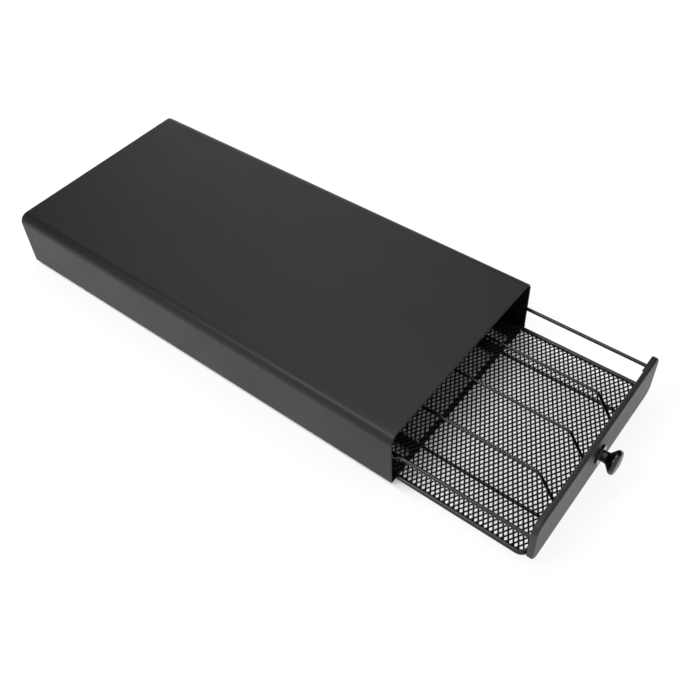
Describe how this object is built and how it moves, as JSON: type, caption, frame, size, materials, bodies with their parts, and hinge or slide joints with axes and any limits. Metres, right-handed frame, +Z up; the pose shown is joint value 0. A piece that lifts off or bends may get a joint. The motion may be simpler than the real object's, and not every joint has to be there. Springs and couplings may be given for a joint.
{
  "type": "coffee pod drawer",
  "caption": "Low folded-steel case with a sliding wire basket for coffee pods: mesh floor, divider wires between the rows, a folded front and a turned knob.",
  "frame": {"origin": "centre of the footprint, at table level, with the drawer out by 135 mm as drawn", "axes": "+Z up; +Y from the drawer front towards the back of the case, the way the drawer closes; +X to the right seen from the front"},
  "size_m": [0.23, 0.6456, 0.0675],
  "materials": {
    "case_coat": "satin charcoal powder coat",
    "front_coat": "satin charcoal powder coat",
    "wire_coat": "satin charcoal powder coat",
    "mesh_coat": "satin near-black powder coat",
    "knob_coat": "gloss black",
    "screw_steel": "plain zinc-plated",
    "foot_rubber": "matt black"
  },
  "bodies": {
    "case": {"case_shell": "case_coat", "back_panel": "case_coat", "front_strap": "case_coat", "rear_strap": "case_coat", "guide_left": "case_coat", "guide_right": "case_coat", "foot_front_left": "foot_rubber", "foot_front_right": "foot_rubber", "foot_rear_left": "foot_rubber", "foot_rear_right": "foot_rubber"},
    "drawer": {"front_panel": "front_coat", "bottom_frame": "wire_coat", "mesh_floor": "mesh_coat", "top_rail": "wire_coat", "post_left": "wire_coat", "post_right": "wire_coat", "divider_left": "wire_coat", "divider_centre": "wire_coat", "divider_right": "wire_coat", "runner_left": "wire_coat", "runner_right": "wire_coat", "knob_base": "knob_coat", "knob": "knob_coat", "knob_screw": "screw_steel"}
  },
  "joints": [
    {"name": "drawer_slide", "type": "slide", "parent": "case", "child": "drawer", "axis": [0, -1, 0], "range_m": [-0.135, 0.205]}
  ]
}
